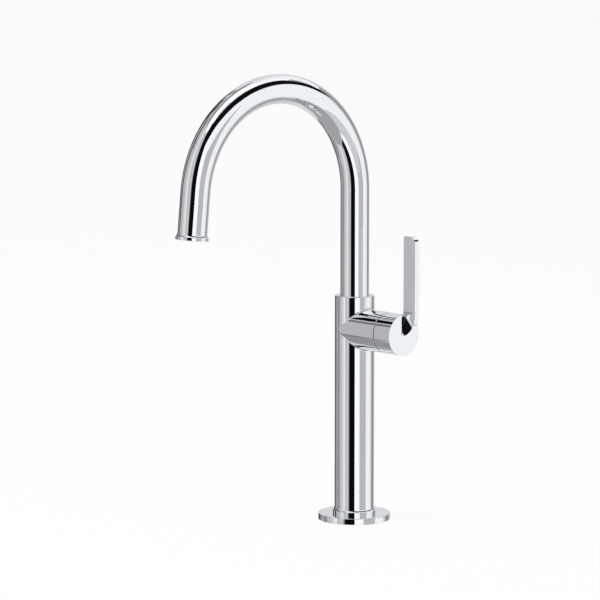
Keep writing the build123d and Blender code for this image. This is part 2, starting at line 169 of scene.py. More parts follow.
class FaucetFinishSettings(bpy.types.PropertyGroup):
    """Colours of the finishes."""

    chrome: shade("Chrome", "Plated metal", (0.95, 0.967, 1.0))
    seam: shade("Seam plastic", "Ring inside the seam", (0.12, 0.12, 0.125))
    brass: shade("Brass", "Machined brass", (0.72, 0.53, 0.25))
    copper: shade("Copper", "Supply tubes", (0.72, 0.38, 0.24))
    steel: shade("Steel", "Set screws", (0.5, 0.5, 0.51))
    rubber: shade("Rubber", "Seals and gasket", (0.022, 0.022, 0.023))
    ceramic: shade("Ceramic", "Valve discs", (0.86, 0.85, 0.81))
    grey_plastic: shade("Grey plastic", "Cartridge mouldings", (0.42, 0.43, 0.44))
    white_plastic: shade("White plastic", "Aerator mouldings", (0.8, 0.8, 0.79))
    roughness: factor("Chrome roughness", "Roughness of the plated metal", 0.02)


class FaucetStageSettings(bpy.types.PropertyGroup):
    """Camera, floor and light."""

    camera_azimuth: bearing("Camera azimuth", "The camera's direction, from -Y towards +X", 47.049)
    camera_distance: length("Camera distance", "Level distance to the column", 2.5865, 0.1, 10.0)
    camera_height: length("Camera height", "Height of the camera", 0.5221)
    camera_yaw: bearing("Camera yaw", "How far the camera looks past the column's axis", 0.9711)
    camera_pitch: bearing("Camera pitch", "How far the camera looks down", 7.5842)
    focal_length: bpy.props.FloatProperty(
        name="Focal length",
        description="Focal length in millimetres on a 36 mm sensor",
        default=195.28,
    )
    card_radius: length("Card distance", "Distance of the studio's cards", 60.0, 1.0, 100.0)
    card_height: length("Card height", "Height of the middle of the cards", 0.17)
    card_tint: shade("Card tint", "Tint of the cards' light", (0.992, 0.997, 1.0))
    floor_shade: factor("Floor", "Grey level of the floor", 0.9)
    floor_glow: factor("Floor glow", "How far the camera sees the floor as plain white", 0.9)


# Nodes


class Wire:
    """A node's socket that can be used in Python arithmetic."""

    def __init__(self, build, socket):
        self.build = build
        self.socket = socket

    def calculate(self, operation, *others):
        values = {index + 1: value for index, value in enumerate(others)}
        values[0] = self
        return self.build.add("ShaderNodeMath", {"operation": operation}, values)

    def reflected(self, operation, other):
        return self.build.add("ShaderNodeMath", {"operation": operation}, {0: other, 1: self})

    def __add__(self, other):
        return self.calculate("ADD", other)

    def __radd__(self, other):
        return self.reflected("ADD", other)

    def __sub__(self, other):
        return self.calculate("SUBTRACT", other)

    def __rsub__(self, other):
        return self.reflected("SUBTRACT", other)

    def __mul__(self, other):
        return self.calculate("MULTIPLY", other)

    def __rmul__(self, other):
        return self.reflected("MULTIPLY", other)

    def __truediv__(self, other):
        return self.calculate("DIVIDE", other)

    def __rtruediv__(self, other):
        return self.reflected("DIVIDE", other)

    def least(self, other):
        return self.calculate("MINIMUM", other)

    def most(self, other):
        return self.calculate("MAXIMUM", other)

    def sine(self):
        return self.calculate("SINE")

    def cosine(self):
        return self.calculate("COSINE")


class Build:
    """Adds nodes to a tree."""

    def __init__(self, tree):
        self.tree = tree

    def add(self, kind, settings=None, values=None, output=0):
        """One node: its settings first, then the values or links of its sockets."""
        node = self.tree.nodes.new(kind)
        for name, value in (settings or {}).items():
            setattr(node, name, value)
        for name, value in (values or {}).items():
            socket = node.inputs[name]
            if isinstance(value, Wire):
                self.tree.links.new(value.socket, socket)
            else:
                socket.default_value = value
        if not node.outputs:
            return node
        return Wire(self, node.outputs[output])

    def outputs(self, wire, *names):
        """Outputs of the node that a wire comes from."""
        return [Wire(self, wire.socket.node.outputs[name]) for name in names]

    def group_input(self, name):
        """A named input of a geometry tree, as a wire."""
        node = self.tree.nodes.new("NodeGroupInput")
        return Wire(self, node.outputs[name])


# Materials


def new_material(name):
    material = bpy.data.materials.new(name + "_finish")
    material.use_nodes = True
    material.node_tree.nodes.clear()
    return material, Build(material.node_tree)


def surface(build, shader):
    build.add("ShaderNodeOutputMaterial", {}, {"Surface": shader})


def rgba(colour, level=1.0):
    return (*(part * level for part in colour), 1.0)


def noise(build, place, scale, detail, roughness):
    return build.add(
        "ShaderNodeTexNoise", {},
        {"Vector": place, "Scale": scale, "Detail": detail, "Roughness": roughness},
    )


def bumped(build, strength, distance, height):
    return build.add(
        "ShaderNodeBump", {}, {"Strength": strength, "Distance": distance, "Height": height}
    )


def mixed_colour(build, share, first, last):
    values = {0: share, 6: first, 7: last}
    return build.add("ShaderNodeMix", {"data_type": "RGBA"}, values, output=2)


def principled(build, values):
    surface(build, build.add("ShaderNodeBsdfPrincipled", {}, values))


def chrome_material(name, colour, roughness):
    """Polished plating: faint polishing waves and a slightly uneven gloss."""
    material, build = new_material(name)
    place = build.add("ShaderNodeTexCoord", output=3)
    haze = noise(build, place, 90.0, 3.0, 0.55)
    wave = noise(build, place, 45.0, 1.0, 0.4)
    values = {
        "Base Color": mixed_colour(build, haze, rgba(colour), rgba(colour, 0.975)),
        "Metallic": 1.0,
        "Roughness": haze * (roughness * 0.6) + roughness * 0.7,
        "Normal": bumped(build, 0.003, 0.0004, wave),
    }
    principled(build, values)
    return material


def moulded_material(name, colour, roughness, grain=260.0, depth=0.05):
    """Moulded plastic or ceramic with a fine, even grain."""
    material, build = new_material(name)
    place = build.add("ShaderNodeTexCoord", output=3)
    grain_noise = noise(build, place, grain, 4.0, 0.6)
    values = {
        "Base Color": mixed_colour(build, grain_noise, rgba(colour, 0.92), rgba(colour)),
        "Roughness": grain_noise * 0.15 + roughness,
        "Normal": bumped(build, depth, 0.0003, grain_noise),
    }
    principled(build, values)
    return material


def turned_material(name, colour, roughness, rings=1400.0):
    """Machined metal with fine turning lines across its length."""
    material, build = new_material(name)
    place = build.add("ShaderNodeTexCoord", output=3)
    apart = build.add("ShaderNodeSeparateXYZ", {}, {0: place})
    across, height = build.outputs(apart, "X", "Z")
    stain = noise(build, place, 70.0, 5.0, 0.6)
    lines = (height * rings + across * rings * 0.5 + stain * 3.0).sine()
    values = {
        "Base Color": mixed_colour(build, stain, rgba(colour, 0.72), rgba(colour)),
        "Metallic": 1.0,
        "Roughness": stain * 0.2 + roughness,
        "Normal": bumped(build, 0.12, 0.00008, lines),
    }
    principled(build, values)
    return material


# Each finish: how it is made, its colour's setting, then its roughness and texture.
FINISH_KINDS = {
    "seam_plastic": (moulded_material, "seam", 0.45),
    "brass": (turned_material, "brass", 0.24),
    "copper_tube": (turned_material, "copper", 0.3, 300.0),
    "steel": (turned_material, "steel", 0.26),
    "stem_metal": (turned_material, "brass", 0.2),
    "black_rubber": (moulded_material, "rubber", 0.62, 420.0, 0.12),
    "ceramic": (moulded_material, "ceramic", 0.12, 150.0, 0.01),
    "grey_plastic": (moulded_material, "grey_plastic", 0.4),
    "white_plastic": (moulded_material, "white_plastic", 0.36),
}
FINISHES = {}


def finish_of(name):
    """The material of one finish, made on first use."""
    if name not in FINISHES:
        colours = bpy.context.scene.faucet_finish
        if name == "chrome":
            FINISHES[name] = chrome_material(name, colours.chrome, colours.roughness)
        else:
            make, colour, *texture = FINISH_KINDS[name]
            FINISHES[name] = make(name, getattr(colours, colour), *texture)
    return FINISHES[name]


# Meshes


def arc(centre, radius, start, end, steps):
    """Points (across, along, normal across, normal along) of a convex arc."""
    points = []
    for step in range(steps + 1):
        turn = start + (end - start) * step / steps
        across, along = cos(turn), sin(turn)
        points.append((centre[0] + radius * across, centre[1] + radius * along, across, along))
    return points


def cove(lip, top, outer, low, steps):
    """Points of a hollow flare from (outer, low) up to an upright end at (lip, top)."""
    rise = top - low
    spread = outer - lip
    hollow = (rise * rise + spread * spread) / 2 / spread
    start = asin(min(1.0, rise / hollow))
    points = []
    for step in range(steps + 1):
        turn = pi + start * (1 - step / steps)
        across, along = cos(turn), sin(turn)
        points.append((lip + hollow + hollow * across, top + hollow * along, -across, -along))
    points[0] = (points[0][0], low, *points[0][2:])
    return points


def outline(*corners):
    """Straight runs that join corners one after another."""
    return [straight(first, last) for first, last in zip(corners, corners[1:])]


def straight(first, last):
    """Both ends of a straight run, with the normal to the right of its direction."""
    across = last[0] - first[0]
    along = last[1] - first[1]
    size = sqrt(across * across + along * along)
    normal = (along / size, -across / size)
    return [(*first, *normal), (*last, *normal)]


def new_piece(name, vertices, faces, normals=None):
    """An object from a mesh; normals hold one vector for each face corner."""
    mesh = bpy.data.meshes.new(name)
    mesh.from_pydata(vertices, [], faces)
    mesh.polygons.foreach_set("use_smooth", [True] * len(mesh.polygons))
    if normals:
        mesh.normals_split_custom_set(normals)
    mesh.update()
    return shown(name, mesh)


def shown(name, data):
    """A new object of the scene that holds some data."""
    thing = bpy.data.objects.new(name, data)
    bpy.context.scene.collection.objects.link(thing)
    return thing


def solid(name, work):
    """A smooth piece from a closed working mesh, with its faces outward."""
    bmesh.ops.recalc_face_normals(work, faces=work.faces)
    mesh = bpy.data.meshes.new(name)
    work.to_mesh(mesh)
    work.free()
    mesh.polygons.foreach_set("use_smooth", [True] * len(mesh.polygons))
    return shown(name, mesh)


def skin(work, rows):
    """Faces between closed rows of points, and one over each end."""
    count = len(rows[0])
    for row, beyond in zip(rows, rows[1:]):
        for step in range(count):
            after = (step + 1) % count
            work.faces.new((row[step], row[after], beyond[after], beyond[step]))
    work.faces.new(rows[0])
    work.faces.new(rows[-1])


def lathe(name, runs, place, steps=192):
    """Turns closed runs of (radius, height, normal) points round the Z axis of a frame."""
    vertices = []
    faces = []
    normals = []
    turn = place.to_3x3()
    ring_start = {}

    def ring(radius, height):
        key = (round(radius * 1e8), round(height * 1e8))
        if key not in ring_start:
            count = 1 if radius < 1e-8 else steps
            ring_start[key] = (len(vertices), count)
            for step in range(count):
                angle = 2 * pi * step / steps
                vertices.append(place @ Vector((radius * cos(angle), radius * sin(angle), height)))
        return ring_start[key]

    def corner(start, step):
        first, count = start
        return first if count == 1 else first + step % steps

    def normal(point, step):
        angle = 2 * pi * step / steps
        return turn @ Vector((point[2] * cos(angle), point[2] * sin(angle), point[3]))

    for run in runs:
        for low, high in zip(run, run[1:]):
            lower = ring(low[0], low[1])
            upper = ring(high[0], high[1])
            for step in range(steps):
                used = {}
                for start, point, place_on in (
                    (lower, low, step), (lower, low, step + 1),
                    (upper, high, step + 1), (upper, high, step),
                ):
                    used.setdefault(corner(start, place_on), (point, place_on))
                faces.append(list(used))
                normals.extend(normal(*item) for item in used.values())
    return new_piece(name, vertices, faces, normals)


def wear(piece, finish):
    piece.data.materials.clear()
    piece.data.materials.append(finish_of(finish))


def finished(piece, body, finish, *nodes):
    """Gives a piece its material and its body, and hides the nodes that it stands for."""
    wear(piece, finish)
    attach(piece, body)
    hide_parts(*nodes)
    return piece


def as_plain_mesh(piece):
    """Turns a piece's modifiers into a plain mesh and drops them."""
    graph = bpy.context.evaluated_depsgraph_get()
    plain = bpy.data.meshes.new_from_object(piece.evaluated_get(graph))
    old = piece.data
    piece.modifiers.clear()
    piece.data = plain
    bpy.data.meshes.remove(old)
    plain.name = piece.name
    return piece


def outlet_frame():
    """A frame at the outlet's end, with Z back up the tube."""
    spout = bpy.context.scene.faucet_spout
    radius, sweep = spout.bend_radius, spout.sweep
    down = Vector((0.0, -sin(sweep), cos(sweep)))
    start = Vector((0.0, -radius * (1 - cos(sweep)), spout.bend_start + radius * sin(sweep)))
    origin = start + down * spout.leg
    x_axis = Vector((1.0, 0.0, 0.0))
    turn = Matrix((x_axis, (-down).cross(x_axis), -down)).transposed()
    return Matrix.Translation(origin) @ turn.to_4x4()


# Pieces


class FAUCET_OT_base(bpy.types.Operator):
    """Makes the flange and the foot ring"""

    bl_idname = "faucet.base"
    bl_label = "Base"

    def execute(self, context):
        sizes = context.scene.faucet_column
        place = Matrix.Identity(4)
        steps = 256
        outer = node_size("base_flange", 0) / 2
        top = node_high("base_flange", 2)
        edge = sizes.flange_edge
        chamfer = 0.0002
        bore = node_size("base_plug", 0) / 2 + SEAT
        plug_rim = 0.0136
        plug_seat = 0.003
        runs = [
            *outline((bore, 0.0), (outer - chamfer, 0.0), (outer, chamfer), (outer, top - edge)),
            arc((outer - edge, top - edge), edge, 0.0, pi / 2, 8),
            *outline(
                (outer - edge, top), (plug_rim, top), (plug_rim, plug_seat), (bore, plug_seat),
                (bore, 0.0),
            ),
        ]
        flange = lathe("flange", runs, place, steps)
        finished(flange, "column", "chrome", "base_flange")

        bore = node_size("column_body", 0) / 2 + SEAT
        band = node_size("foot_ring", 0) / 2
        low = node_low("foot_ring", 2)
        high = node_high("foot_ring", 2)
        shoulder = low + sizes.band_height
        lip = bore + sizes.foot_lip
        hollow = cove(lip, high, band, shoulder, 12)
        edge = sizes.foot_edge
        runs = [
            *outline((bore, low), (band, low), (band, shoulder - edge)),
            arc((band - edge, shoulder - edge), edge, 0.0, pi / 2, 5),
            straight((band - edge, shoulder), hollow[0][:2]),
            hollow,
            *outline((lip, high), (bore, high), (bore, low)),
        ]
        foot = lathe("foot_ring_dressed", runs, place, steps)
        finished(foot, "column", "chrome", "foot_ring")
        return {"FINISHED"}


class FAUCET_OT_column(bpy.types.Operator):
    """Makes the column and the hub's sleeve with its blend"""

    bl_idname = "faucet.column"
    bl_label = "Column"

    def execute(self, context):
        sizes = context.scene.faucet_column
        radius = node_size("column_body", 0) / 2
        low = node_low("column_body", 2)
        high = node_high("column_body", 2)
        edge = sizes.column_edge
        hole = sizes.column_hole
        inner = sizes.sleeve_bore
        ceiling = high - 0.003
        lip = 0.00025
        runs = [
            *outline((inner, low), (radius, low), (radius, high - edge)),
            arc((radius - edge, high - edge), edge, 0.0, pi / 2, 10),
            straight((radius - edge, high), (hole + lip, high)),
            arc((hole + lip, high - lip), lip, pi / 2, pi, 5),
            *outline((hole, high - lip), (hole, ceiling), (inner, ceiling), (inner, low)),
        ]
        column = lathe("column", runs, Matrix.Identity(4), 320)
        finished(column, "column", "chrome", "column_body")
        sleeve = self.sleeve(sizes, radius)
        finished(sleeve, "column", "chrome", "hub_sleeve")
        return {"FINISHED"}

    def sleeve(self, sizes, column):
        """Each ray round the hub runs along the sleeve and down the blend onto the column."""
        hub = node_size("lever_cap", 1) / 2
        end = node_high("hub_sleeve", 0)
        ball = sizes.blend
        bore = sizes.sleeve_bore
        edge = sizes.sleeve_edge
        rays = 384
        bend_steps = 8
        to_hub = UPWARDS * HUB_HEIGHT
        limit = (column + ball) / (hub + ball)
        vertices = []
        faces = []
        normals = []
        rows = []
        for ray in range(rays):
            angle = 2 * pi * ray / rays
            out = Vector((0.0, cos(angle), sin(angle)))
            across = abs(cos(angle))
            points = []

            def put(x, reach, normal):
                spot = out * reach
                points.append((Vector((x, spot.y, spot.z + HUB_HEIGHT)), normal))

            put(end, bore, ALONG_HUB)
            put(end, hub - edge, ALONG_HUB)
            for step in range(1, 4):
                turn = pi / 2 * step / 3
                normal = ALONG_HUB * cos(turn) + out * sin(turn)
                put(end - edge + edge * cos(turn), hub - edge + edge * sin(turn), normal)
            if across < limit:
                reach = hub + ball
                centre_x = sqrt((column + ball) ** 2 - (reach * across) ** 2)
                centre = Vector((centre_x, reach * cos(angle), reach * sin(angle)))
                onto_column = -Vector((centre.x, centre.y, 0.0)).normalized()
                for share in (0.25, 0.5, 0.75):
                    put(end - edge + (centre_x - end + edge) * share, hub, out)
                for step in range(bend_steps + 1):
                    way = (-out).slerp(onto_column, step / bend_steps)
                    points.append((centre + way * ball + to_hub, -way))
            else:
                ease = (across - limit) / (1 - limit)
                ease = ease * ease * (3 - 2 * ease)
                tail = -sizes.blend_out * ease
                for share in (0.25, 0.5, 0.75):
                    put((end - edge) * (1 - share), hub, out)
                side = 1.0 if cos(angle) > 0 else -1.0
                drop_y = sqrt(column * column - tail * tail) * side
                last = Vector((tail, drop_y, (hub + ball) * sin(angle)))
                first = out * hub
                for step in range(bend_steps + 1):
                    share = step / bend_steps
                    fall = share * share * (3 - 2 * share)
                    y = first.y + (last.y - first.y) * fall
                    z = first.z + (last.z - first.z) * share
                    spot = Vector((tail * share, y, z))
                    lean = Vector((spot.x, spot.y, 0.0)).normalized()
                    points.append((spot + to_hub, out.lerp(lean, share).normalized()))
            put(0.5 * column, bore, -out)
            rows.append(points)
        width = len(rows[0])
        for points in rows:
            vertices.extend(point for point, normal in points)
        for ray in range(rays):
            after = (ray + 1) % rays
            for step in range(width):
                following = (step + 1) % width
                corners = [(ray, step), (ray, following), (after, following), (after, step)]
                faces.append([row * width + place for row, place in corners])
                for row, place in corners:
                    if step == 0:
                        normals.append(ALONG_HUB)
                    elif step == width - 1:
                        turn = 2 * pi * row / rays
                        normals.append(-Vector((0.0, cos(turn), sin(turn))))
                    elif step == width - 2:
                        normals.append(-ALONG_HUB)
                    else:
                        normals.append(rows[row][place][1])
        return new_piece("hub_sleeve_dressed", vertices, faces, normals)


def new_tree(name, numbers, counts=()):
    """A geometry tree with number inputs, whole-number inputs, a finish and an output."""
    tree = bpy.data.node_groups.new(name, "GeometryNodeTree")
    for kind, inputs in (("NodeSocketFloat", numbers), ("NodeSocketInt", counts)):
        for label, value in inputs:
            socket = tree.interface.new_socket(label, in_out="INPUT", socket_type=kind)
            socket.default_value = value
    tree.interface.new_socket("Finish", in_out="INPUT", socket_type="NodeSocketMaterial")
    tree.interface.new_socket("Geometry", in_out="OUTPUT", socket_type="NodeSocketGeometry")
    return tree, Build(tree)


def tree_end(build, geometry):
    """Realizes the instances and sets the finish, as every tree's last nodes."""
    geometry = build.add("GeometryNodeRealizeInstances", {}, {"Geometry": geometry})
    values = {"Geometry": geometry, "Material": build.group_input("Finish")}
    geometry = build.add("GeometryNodeSetMaterial", {}, values)
    build.add("NodeGroupOutput", {}, {"Geometry": geometry})


def tube_tree():
    """A geometry tree that sweeps a tube up a riser, round a bend and down a leg."""
    numbers = (
        ("Foot height", 0.1), ("Bend start", 0.2), ("Bend radius", 0.1),
        ("Sweep", pi), ("Leg", 0.03), ("Tube radius", 0.01),
    )
    tree, build = new_tree("Gooseneck", numbers, (("Steps", 300), ("Sides", 96)))
    foot, start, radius, sweep, leg = (build.group_input(name) for name, value in numbers[:5])
    riser = start - foot
    bend = radius * sweep
    whole = riser + bend + leg
    line = build.add(
        "GeometryNodeCurvePrimitiveLine", {"mode": "POINTS"},
        {0: (0.0, 0.0, 0.0), 1: (0.0, 0.0, 1.0)},
    )
    path = build.add(
        "GeometryNodeResampleCurve", {}, {"Curve": line, "Count": build.group_input("Steps")}
    )
    share = build.add("GeometryNodeSplineParameter", output=0)
    along = share * whole
    up = along.least(riser)
    turned = ((along - riser) / radius).most(0.0).least(sweep)
    over = (along - riser - bend).most(0.0)
    away = radius * (turned.cosine() - 1.0) - over * sweep.sine()
    height = foot + up + radius * turned.sine() + over * sweep.cosine()
    spot = build.add("ShaderNodeCombineXYZ", {}, {"X": 0.0, "Y": away, "Z": height})
    path = build.add("GeometryNodeSetPosition", {}, {"Geometry": path, "Position": spot})
    section = build.add(
        "GeometryNodeCurvePrimitiveCircle", {"mode": "RADIUS"},
        {"Resolution": build.group_input("Sides"), "Radius": build.group_input("Tube radius")},
    )
    tube = build.add("GeometryNodeCurveToMesh", {}, {"Curve": path, "Profile Curve": section})
    tube = build.add("GeometryNodeSetShadeSmooth", {}, {"Geometry": tube})
    tree_end(build, tube)
    return tree


def comb_tree():
    """A geometry tree that sets hexagonal cell walls inside a round rim."""
    numbers = (("Pitch", 0.0027), ("Wall", 0.0006), ("Depth", 0.0035), ("Reach", 0.009))
    tree, build = new_tree("Honeycomb", numbers)
    pitch, wall, depth, reach = (build.group_input(name) for name, value in numbers)
    rows = 9
    grid = build.add(
        "GeometryNodeMeshGrid", {},
        {
            "Size X": pitch * (rows - 1.0), "Size Y": pitch * ((rows - 1) * sqrt(3) / 2),
            "Vertices X": rows, "Vertices Y": rows,
        },
    )
    place = build.add("GeometryNodeInputPosition")
    across = build.add("ShaderNodeSeparateXYZ", {}, {0: place}, output="Y")
    row = (across / (pitch * (sqrt(3) / 2)) + float(rows)).calculate("ROUND")
    odd = row.calculate("MODULO", 2.0)
    sideways = (odd - 0.5) * pitch * 0.5
    shifted = build.add("ShaderNodeCombineXYZ", {}, {"X": sideways, "Y": 0.0, "Z": 0.0})
    grid = build.add("GeometryNodeSetPosition", {}, {"Geometry": grid, "Offset": shifted})
    far = build.add("ShaderNodeVectorMath", {"operation": "LENGTH"}, {0: place}, output=1)
    outside = build.add(
        "FunctionNodeCompare", {"data_type": "FLOAT", "operation": "GREATER_THAN"},
        {0: far, 1: reach - pitch * 0.35},
    )
    points = build.add("GeometryNodeMeshToPoints", {}, {"Mesh": grid})
    points = build.add(
        "GeometryNodeDeleteGeometry", {"domain": "POINT"},
        {"Geometry": points, "Selection": outside},
    )
    hexagon = build.add(
        "GeometryNodeCurvePrimitiveCircle", {"mode": "RADIUS"},
        {"Resolution": 6, "Radius": pitch * (1 / sqrt(3))},
    )
    turned = build.add(
        "GeometryNodeTransform", {}, {"Geometry": hexagon, "Rotation": (0.0, 0.0, pi / 6)}
    )
    section = build.add(
        "GeometryNodeCurvePrimitiveQuadrilateral", {"mode": "RECTANGLE"},
        {"Width": wall, "Height": depth},
    )
    cell = build.add("GeometryNodeCurveToMesh", {}, {"Curve": turned, "Profile Curve": section})
    cells = build.add("GeometryNodeInstanceOnPoints", {}, {"Points": points, "Instance": cell})
    tree_end(build, cells)
    return tree


def grown(name, tree, inputs):
    """A piece that a geometry tree makes, with the tree's inputs set by name."""
    piece = shown(name, bpy.data.meshes.new(name))
    modifier = piece.modifiers.new("Tree", "NODES")
    modifier.node_group = tree
    for item in tree.interface.items_tree:
        if item.item_type == "SOCKET" and item.in_out == "INPUT" and item.name in inputs:
            modifier[item.identifier] = inputs[item.name]
    return piece


class FAUCET_OT_spout(bpy.types.Operator):
    """Makes the gooseneck tube"""

    bl_idname = "faucet.spout"
    bl_label = "Gooseneck"

    def execute(self, context):
        spout = context.scene.faucet_spout
        inputs = {
            "Foot height": node_low("spout_tube", 2), "Bend start": spout.bend_start,
            "Bend radius": spout.bend_radius, "Sweep": spout.sweep,
            "Leg": spout.leg - TUBE_STOP, "Tube radius": spout.tube_radius,
            "Steps": 420, "Sides": 128, "Finish": finish_of("chrome"),
        }
        tube = grown("gooseneck", tube_tree(), inputs)
        wall = tube.modifiers.new("Wall", "SOLIDIFY")
        wall.thickness = spout.tube_wall
        wall.offset = -1.0
        wall.use_even_offset = True
        as_plain_mesh(tube)
        finished(tube, "spout", "chrome", "spout_tube")
        return {"FINISHED"}


class FAUCET_OT_outlet(bpy.types.Operator):
    """Makes the outlet ring and the aerator"""

    bl_idname = "faucet.outlet"
    bl_label = "Outlet"

    def execute(self, context):
        spout = context.scene.faucet_spout
        place = outlet_frame()
        bore = spout.tube_radius + SEAT
        outer = spout.ring_radius
        band = spout.ring_band
        top = band + spout.ring_cove
        lip = bore + 0.00015
        inner = spout.tube_radius - 0.0007
        edge = 0.0003
        hollow = cove(lip, top, outer, band, 10)
        runs = [
            straight((inner, 0.0), (outer - edge, 0.0)),
            arc((outer - edge, edge), edge, -pi / 2, 0.0, 5),
            straight((outer, edge), (outer, band - edge)),
            arc((outer - edge, band - edge), edge, 0.0, pi / 2, 5),
            straight((outer - edge, band), hollow[0][:2]),
            hollow,
            *outline(
                (lip, top), (bore, top), (bore, TUBE_STOP), (inner, TUBE_STOP), (inner, 0.0)
            ),
        ]
        ring = lathe("outlet_ring_dressed", runs, place, 192)
        finished(ring, "spout", "chrome", "outlet_ring")

        tube_bore = spout.tube_radius - spout.tube_wall - SEAT
        cup_wall = 0.0012
        cup_bore = tube_bore - cup_wall
        cup_low = 0.0006
        cup_high = 0.0106
        chamfer = 0.0002
        runs = outline(
            (cup_bore, cup_low), (tube_bore - chamfer, cup_low), (tube_bore, cup_low + chamfer),
            (tube_bore, cup_high), (cup_bore, cup_high), (cup_bore, cup_low),
        )
        cup = lathe("aerator_cup", runs, place, 96)
        finished(cup, "spout", "white_plastic", "aerator_housing")

        inputs = {
            "Pitch": spout.cell_pitch, "Wall": spout.cell_wall, "Depth": 0.0035,
            "Reach": cup_bore - 0.0004, "Finish": finish_of("white_plastic"),
        }
        comb = as_plain_mesh(grown("aerator_comb", comb_tree(), inputs))
        comb.data.transform(place @ Matrix.Translation((0.0, 0.0, 0.00285)))
        finished(comb, "spout", "white_plastic", "aerator_honeycomb")
        return {"FINISHED"}


def round_edges(piece, edge):
    """Small rounded edges, as a modifier."""
    bevel = piece.modifiers.new("Edges", "BEVEL")
    bevel.width = edge
    bevel.segments = 3
    bevel.limit_method = "ANGLE"
    bevel.angle_limit = radians(25)
    bevel.harden_normals = True
    bevel.miter_outer = "MITER_ARC"


class FAUCET_OT_lever(bpy.types.Operator):
    """Makes the turning cap with its notch and the flat lever"""

    bl_idname = "faucet.lever"
    bl_label = "Lever"

    def execute(self, context):
        lever = context.scene.faucet_lever
        turned = self.turned_cap(lever, node_low("lever_cap", 0))
        notch = self.notch_cutter(lever)
        cut = turned.modifiers.new("Notch", "BOOLEAN")
        cut.operation = "DIFFERENCE"
        cut.solver = "EXACT"
        cut.object = notch
        round_edges(turned, lever.edge)
        shade = turned.modifiers.new("Shading", "WEIGHTED_NORMAL")
        shade.mode = "FACE_AREA"
        shade.weight = 90
        bar = self.bar(lever)
        for part in (turned, bar):
            as_plain_mesh(part)
        bpy.data.objects.remove(notch)
        cap = joined("lever_cap_dressed", [turned, bar])
        finished(cap, "handle", "chrome", "lever_cap")
        return {"FINISHED"}

    def turned_cap(self, lever, start):
        """The round cap before its notch is cut, with its back edge already rounded."""
        radius = lever.cap_radius
        edge = lever.back_edge
        steps = 320
        rings = []
        for step in range(7):
            turn = pi / 2 * step / 6
            rings.append((start + edge - edge * cos(turn), radius - edge + edge * sin(turn)))
        rings.append((lever.cap_face, radius))
        work = bmesh.new()
        rows = []
        for x, reach in rings:
            turns = [2 * pi * step / steps for step in range(steps)]
            spots = [(x, reach * cos(turn), reach * sin(turn) + HUB_HEIGHT) for turn in turns]
            rows.append([work.verts.new(spot) for spot in spots])
        skin(work, rows)
        return solid("cap_turned", work)

    def notch_cutter(self, lever):
        """The notch: a hollow floor that climbs to the back and a back wall aslant to the lever."""
        left = -lever.notch_wall
        right = lever.lever_front + 0.0004
        face = lever.cap_face
        slope = lever.notch_slope
        centre = lever.notch_centre
        radius = lever.notch_radius
        centre_z = radius - lever.notch_bottom
        above = 2.5 * lever.cap_radius + HUB_HEIGHT
        ahead = 0.01
        steps = 48
        front_row = []
        back_row = []
        work = bmesh.new()
        for step in range(steps + 1):
            share = step / steps
            y = left + (right - left) * share
            depth = lever.notch_lip + (lever.notch_depth - lever.notch_lip) * share
            floor = centre_z - sqrt(radius**2 - (y - centre) ** 2) + HUB_HEIGHT
            front_row.append(work.verts.new((face + ahead, y, floor - slope * ahead)))
            back_row.append(work.verts.new((face - depth, y, floor + slope * depth)))
        ends = ((front_row, -ahead, -ahead), (back_row, lever.notch_depth, lever.notch_lip))
        for row, deep, shallow in ends:
            row.append(work.verts.new((face - deep, right, above)))
            row.append(work.verts.new((face - shallow, left, above)))
        skin(work, (front_row, back_row))
        return solid("notch", work)

    def bar(self, lever):
        """The flat lever, drawn from the front and given its thickness."""
        outer = lever.cap_face + lever.lever_proud
        inner = outer - lever.lever_width
        width = lever.lever_width
        top = lever.lever_top
        root = lever.root_height
        points = [(inner, top)]
        buried = 0.004
        tucked = lever.lever_proud + buried
        drop = sqrt(width**2 - (width - tucked) ** 2)
        points.append((inner, root - drop))
        points.append((outer - tucked, root - drop))
        lowest = -asin(drop / width)
        corner = lever.top_round
        tip = arc((outer - corner, top - corner), corner, 0.0, pi / 2, 24)
        points += [spot[:2] for spot in arc((inner, root), width, lowest, 0.0, 24) + tip]
        work = bmesh.new()
        front = lever.lever_front
        face = work.faces.new([work.verts.new((x, front, z + HUB_HEIGHT)) for x, z in points])
        made = bmesh.ops.extrude_face_region(work, geom=[face])
        moved = [item for item in made["geom"] if isinstance(item, bmesh.types.BMVert)]
        bmesh.ops.translate(work, verts=moved, vec=(0.0, lever.lever_thickness, 0.0))
        bar = solid("bar", work)
        round_edges(bar, lever.edge)
        return bar


def joined(name, parts):
    """Joins plain meshes into one piece and keeps their normals."""
    bpy.ops.object.select_all(action="DESELECT")
    for part in parts:
        part.select_set(True)
    bpy.context.view_layer.objects.active = parts[0]
    bpy.ops.object.join()
    whole = parts[0]
    whole.name = name
    whole.data.name = name
    whole.select_set(False)
    return whole


NODES_BY_FINISH = {
    "black_rubber": ("base_gasket", "port_seal", "stem_seal", "spout_seal", "aerator_gasket"),
    "brass": ("base_plug", "valve_body", "cartridge_nut", "spout_foot"),
    "copper_tube": ("hot_supply_tube", "cold_supply_tube"),
    "steel": ("swivel_stop_screw", "lever_screw"),
    "grey_plastic": ("cartridge_base", "cartridge_housing", "thrust_washer", "stem_adapter"),
    "ceramic": ("fixed_disc", "moving_disc"),
    "seam_plastic": ("seam_ring",),
    "stem_metal": ("cartridge_stem",),
    "white_plastic": ("aerator_diffuser",),
}


class FAUCET_OT_inner_works(bpy.types.Operator):
    """Gives the carried-over inner pieces their finishes"""

    bl_idname = "faucet.inner_works"
    bl_label = "Inner works"

    def execute(self, context):
        for finish, nodes in NODES_BY_FINISH.items():
            for node in nodes:
                wear(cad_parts[node], finish)
        return {"FINISHED"}


# Studio

